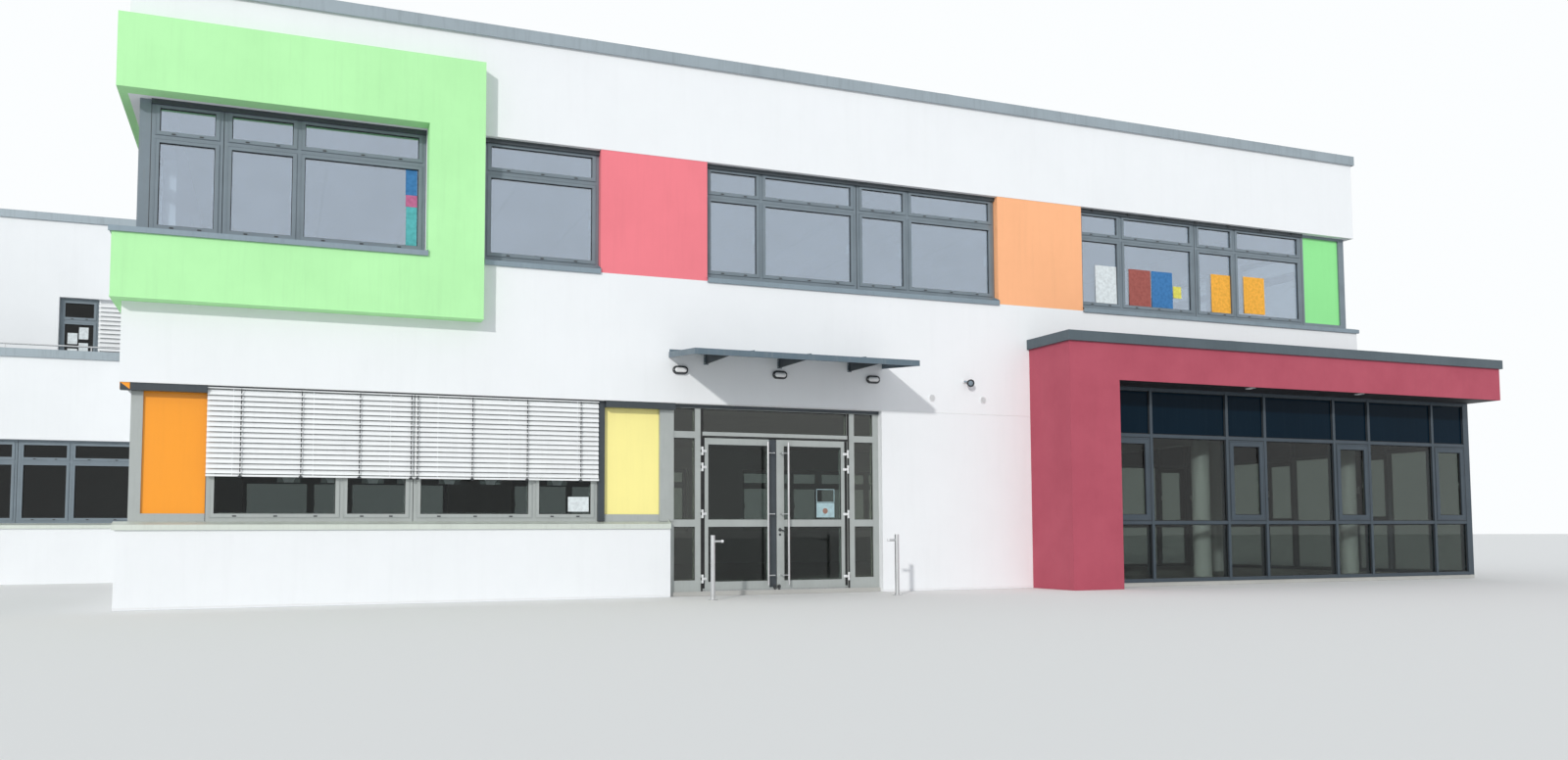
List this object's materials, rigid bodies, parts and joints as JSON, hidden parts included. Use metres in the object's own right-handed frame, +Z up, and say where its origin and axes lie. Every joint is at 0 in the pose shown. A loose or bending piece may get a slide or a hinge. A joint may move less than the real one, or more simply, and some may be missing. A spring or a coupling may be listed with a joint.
{
  "type": "school building",
  "caption": "Two-storey flat-roofed school block with coloured panels, a green frame round its corner window, a hinged double door, a dark red glazed pavilion and a side wing.",
  "frame": {"origin": "on the ground under the middle of the main block's footprint", "axes": "+X along the front to the right, +Y into the building, +Z up"},
  "size_m": [28.134, 17.602, 7.71],
  "materials": {
    "concrete": "smooth",
    "roof_sheet": "welded roofing membrane",
    "coping_metal": "satin",
    "white_render": "fine scratched render",
    "red_panel": "satin",
    "orange_panel": "satin",
    "green_render": "fine render",
    "dark_frames": "satin",
    "rail_coating": "satin",
    "clear_glass": "clear",
    "yellow_panel": "satin",
    "deep_orange_panel": "satin",
    "green_panel": "satin",
    "sill_metal": "satin",
    "white_slats": "satin",
    "steel_pull": "brushed",
    "canopy_metal": "satin",
    "lamp_housing": "satin",
    "vent_white": "satin",
    "dark_red_render": "fine render",
    "petrol_panel": "gloss",
    "column_paint": "satin"
  },
  "bodies": {
    "building": {"ground_slab": "concrete", "upper_floor": "concrete", "main_roof": "roof_sheet", "roof_coping": "coping_metal", "front_wall_low": "white_render", "front_wall_pier": "white_render", "front_wall_band": "white_render", "front_parapet": "white_render", "upper_pier": "white_render", "red_panel": "red_panel", "orange_panel": "orange_panel", "left_wall": "white_render", "right_wall": "white_render", "rear_wall": "white_render", "green_box": "green_render", "front_window_frames": "dark_frames", "low_window_frames": "dark_frames", "side_window_frames": "dark_frames", "blind_rails": "rail_coating", "front_glass": "clear_glass", "low_glass": "clear_glass", "side_glass": "clear_glass", "yellow_panel": "yellow_panel", "low_orange_panel": "deep_orange_panel", "green_panel": "green_panel", "window_sills": "sill_metal", "blind_left": "white_slats", "blind_right": "white_slats", "entrance_frame": "dark_frames", "entrance_glass": "clear_glass", "canopy_plate": "canopy_metal", "canopy_brackets": "dark_frames", "wall_lamps": "lamp_housing", "wall_vents": "vent_white", "door_stops": "steel_pull", "pavilion_pier": "dark_red_render", "pavilion_roof": "dark_red_render", "pavilion_coping": "coping_metal", "pavilion_frames": "dark_frames", "pavilion_panels": "petrol_panel", "pavilion_glass": "clear_glass", "round_columns": "column_paint", "wing_walls": "white_render", "wing_roofs": "roof_sheet", "wing_coping": "coping_metal", "wing_louvre": "white_slats", "wing_rail": "steel_pull"},
    "left_leaf": {"door_left": "dark_frames", "door_left_glass": "clear_glass", "door_left_pull": "steel_pull"},
    "right_leaf": {"door_right": "dark_frames", "door_right_glass": "clear_glass", "door_right_pull": "steel_pull"}
  },
  "joints": [
    {"name": "left_leaf_hinge", "type": "hinge", "parent": "building", "child": "left_leaf", "pos_m": [-2.586, -8.093, 0.07], "axis": [0, 0, -1], "range_deg": [0, 95]},
    {"name": "right_leaf_hinge", "type": "hinge", "parent": "building", "child": "right_leaf", "pos_m": [-0.306, -8.093, 0.07], "axis": [0, 0, 1], "range_deg": [0, 95]}
  ]
}
